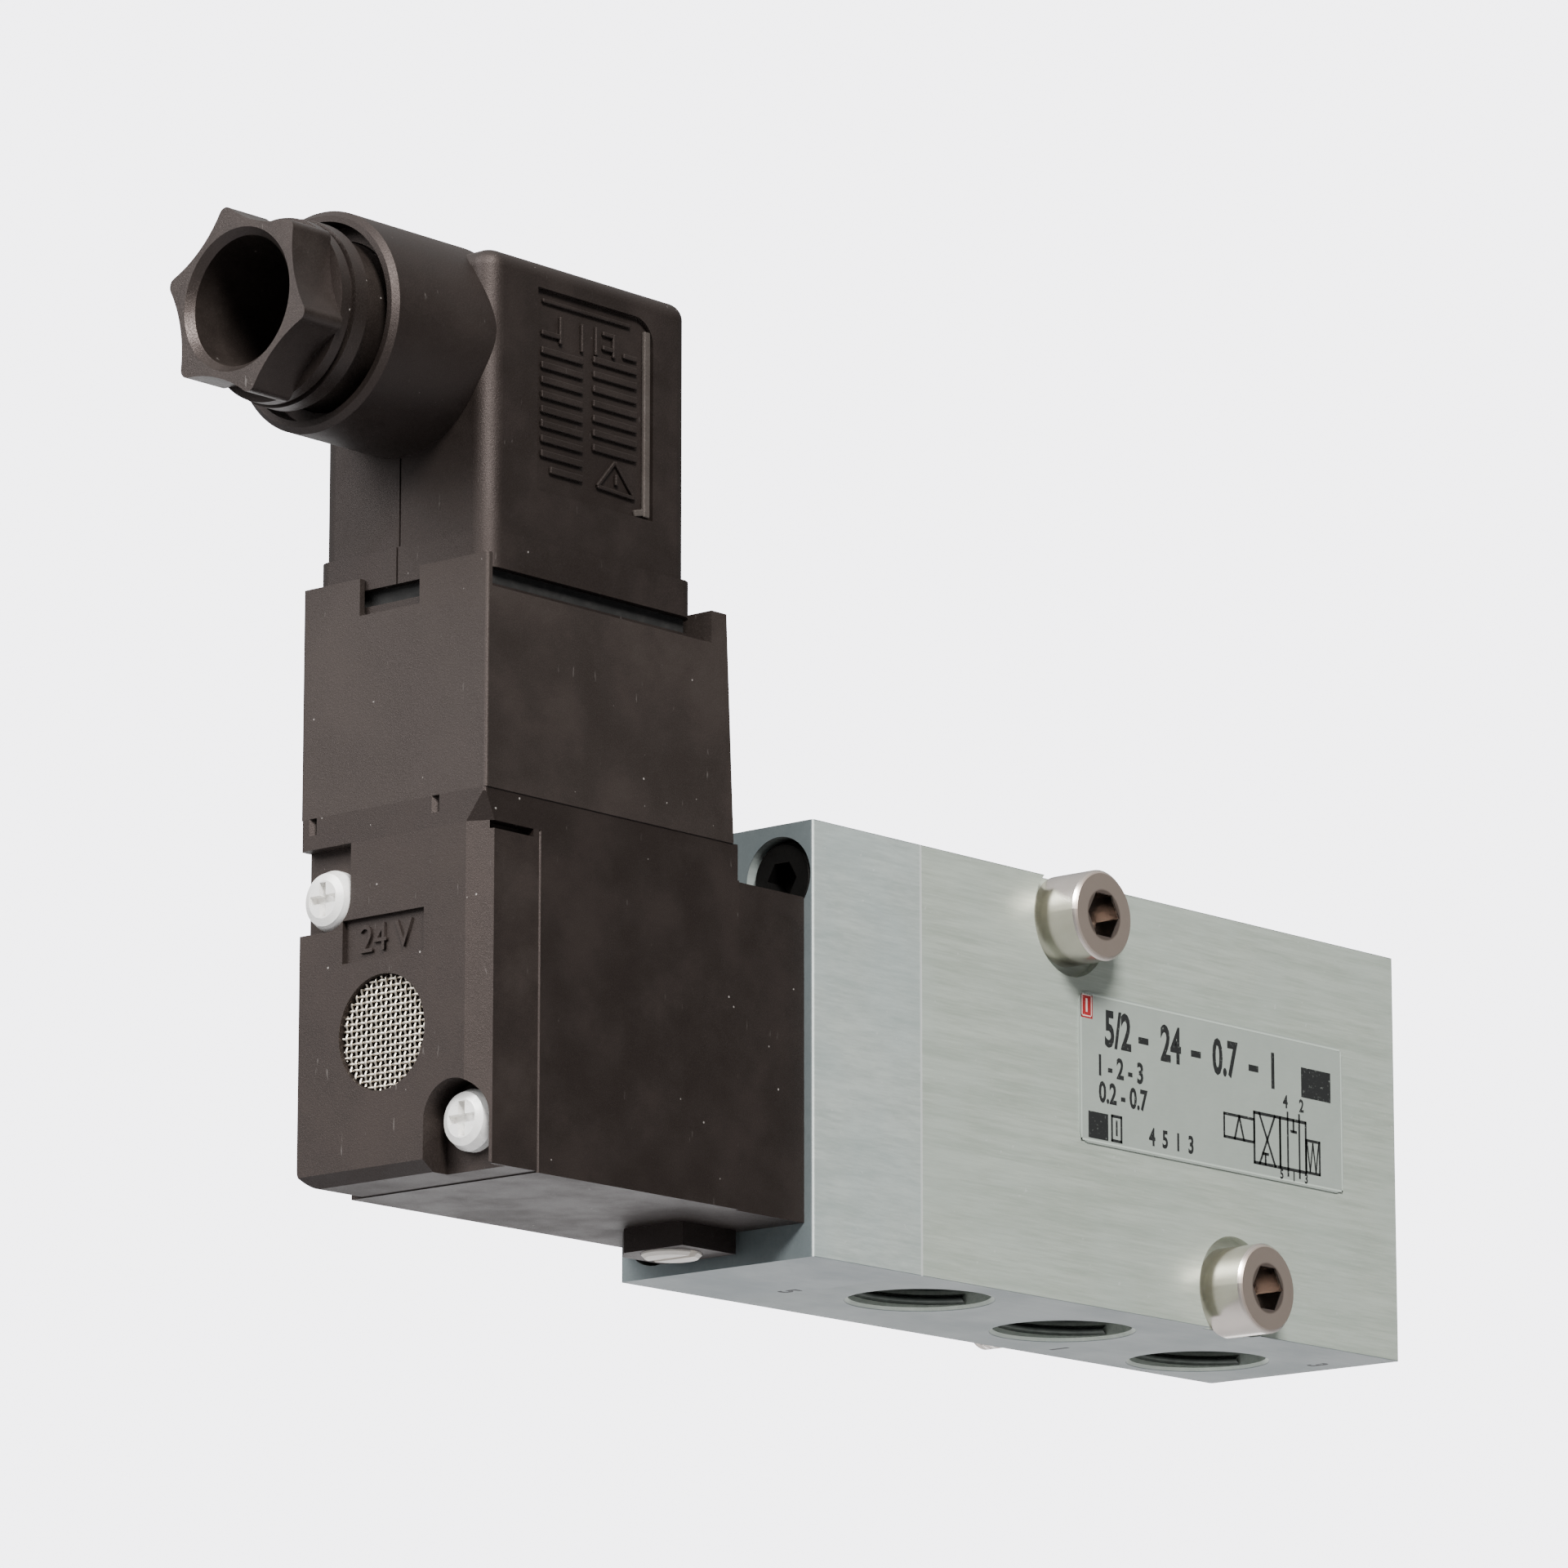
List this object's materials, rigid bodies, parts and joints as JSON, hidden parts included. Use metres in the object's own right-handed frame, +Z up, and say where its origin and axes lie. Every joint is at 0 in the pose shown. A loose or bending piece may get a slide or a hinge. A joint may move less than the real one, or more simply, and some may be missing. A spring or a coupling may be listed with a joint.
{
  "type": "solenoid directional valve",
  "caption": "Pilot-operated 5/2 spool valve with an actuator mounting face, a block-shaped coil on a pilot head, and a plug connector with a cable gland.",
  "frame": {"origin": "centre of the mounting pattern, on the mounting face at the back of the aluminium block", "axes": "+X along the spool, from the pilot end to the blind end; +Y out of the mounting face; +Z up, along the coil, away from the bottom ports"},
  "size_m": [0.148, 0.035, 0.0869],
  "materials": {
    "body_aluminium": "satin brushed, clear anodised",
    "plate_aluminium": "satin brushed, clear anodised",
    "moulded_plastic": "fine grained satin moulding",
    "hood_plastic": "fine grained satin moulding",
    "nickel_steel": "bright nickel plate",
    "zinc_steel": "bright zinc plate",
    "spring_steel": "drawn wire",
    "magnet_steel": "turned",
    "spool_aluminium": "ground",
    "black_rubber": "moulded",
    "gasket_rubber": "cut sheet",
    "white_plastic": "moulded",
    "brass": "bare",
    "copper_wire": "enamelled copper",
    "woven_steel": "woven wire",
    "label_film": "printed film"
  },
  "bodies": {
    "valve": {"valve_body": "body_aluminium", "pilot_end_plate": "plate_aluminium", "end_plate_gasket": "gasket_rubber", "end_plate_screws": "nickel_steel", "mounting_screws": "nickel_steel", "port_seals": "black_rubber", "name_label": "label_film", "return_spring": "spring_steel", "bore_plug": "spool_aluminium", "plug_seal": "black_rubber", "retaining_ring": "spring_steel", "pilot_body": "moulded_plastic", "pilot_gasket": "gasket_rubber", "pilot_cover": "moulded_plastic", "cover_gasket": "gasket_rubber", "exhaust_screen": "woven_steel", "pilot_screws": "zinc_steel", "override_spring": "spring_steel", "coil_housing": "moulded_plastic", "yoke": "magnet_steel", "bobbin": "white_plastic", "coil_winding": "copper_wire", "core_tube": "magnet_steel", "core_seal": "black_rubber", "fixed_core": "magnet_steel", "armature_spring": "spring_steel", "terminal_base": "hood_plastic", "terminal_blades": "brass", "connector_gasket": "gasket_rubber", "connector_housing": "hood_plastic", "terminal_block": "hood_plastic", "terminal_screws": "nickel_steel", "connector_screw": "nickel_steel", "gland_grommet": "gasket_rubber"},
    "spool": {"spool": "spool_aluminium", "spool_seals": "black_rubber", "piston": "white_plastic", "piston_seal": "black_rubber"},
    "armature": {"armature": "magnet_steel", "poppet_seal": "black_rubber"},
    "override_button": {"override_button": "nickel_steel", "override_seal": "black_rubber"},
    "gland_washer": {"gland_washer": "zinc_steel"},
    "gland_nut": {"gland_nut": "hood_plastic"}
  },
  "joints": [
    {"name": "spool_shift", "type": "slide", "parent": "valve", "child": "spool", "axis": [1, 0, 0], "range_m": [0, 0.004], "stiffness_N_per_m": 2500, "springref_m": -0.002, "deforming": ["return_spring"]},
    {"name": "armature_lift", "type": "slide", "parent": "valve", "child": "armature", "axis": [0, 0, 1], "range_m": [0, 0.0012], "stiffness_N_per_m": 800, "springref_m": -0.001, "deforming": ["armature_spring"]},
    {"name": "override_press", "type": "slide", "parent": "valve", "child": "override_button", "axis": [0, 0, 1], "range_m": [0, 0.0015], "stiffness_N_per_m": 1000, "springref_m": -0.001, "deforming": ["override_spring"]},
    {"name": "gland_washer_press", "type": "slide", "parent": "valve", "child": "gland_washer", "axis": [1, 0, 0], "range_m": [0, 0.0015], "deforming": ["gland_grommet"]},
    {"name": "gland_nut_turn", "type": "hinge", "parent": "gland_washer", "child": "gland_nut", "pos_m": [-0.105, -0.0115, 0.05685], "axis": [1, 0, 0], "range_deg": [0, 360]}
  ],
  "couplings": [
    {"joint": "gland_washer_press", "follows": "gland_nut_turn", "m_per_rad": 0.00023873}
  ]
}
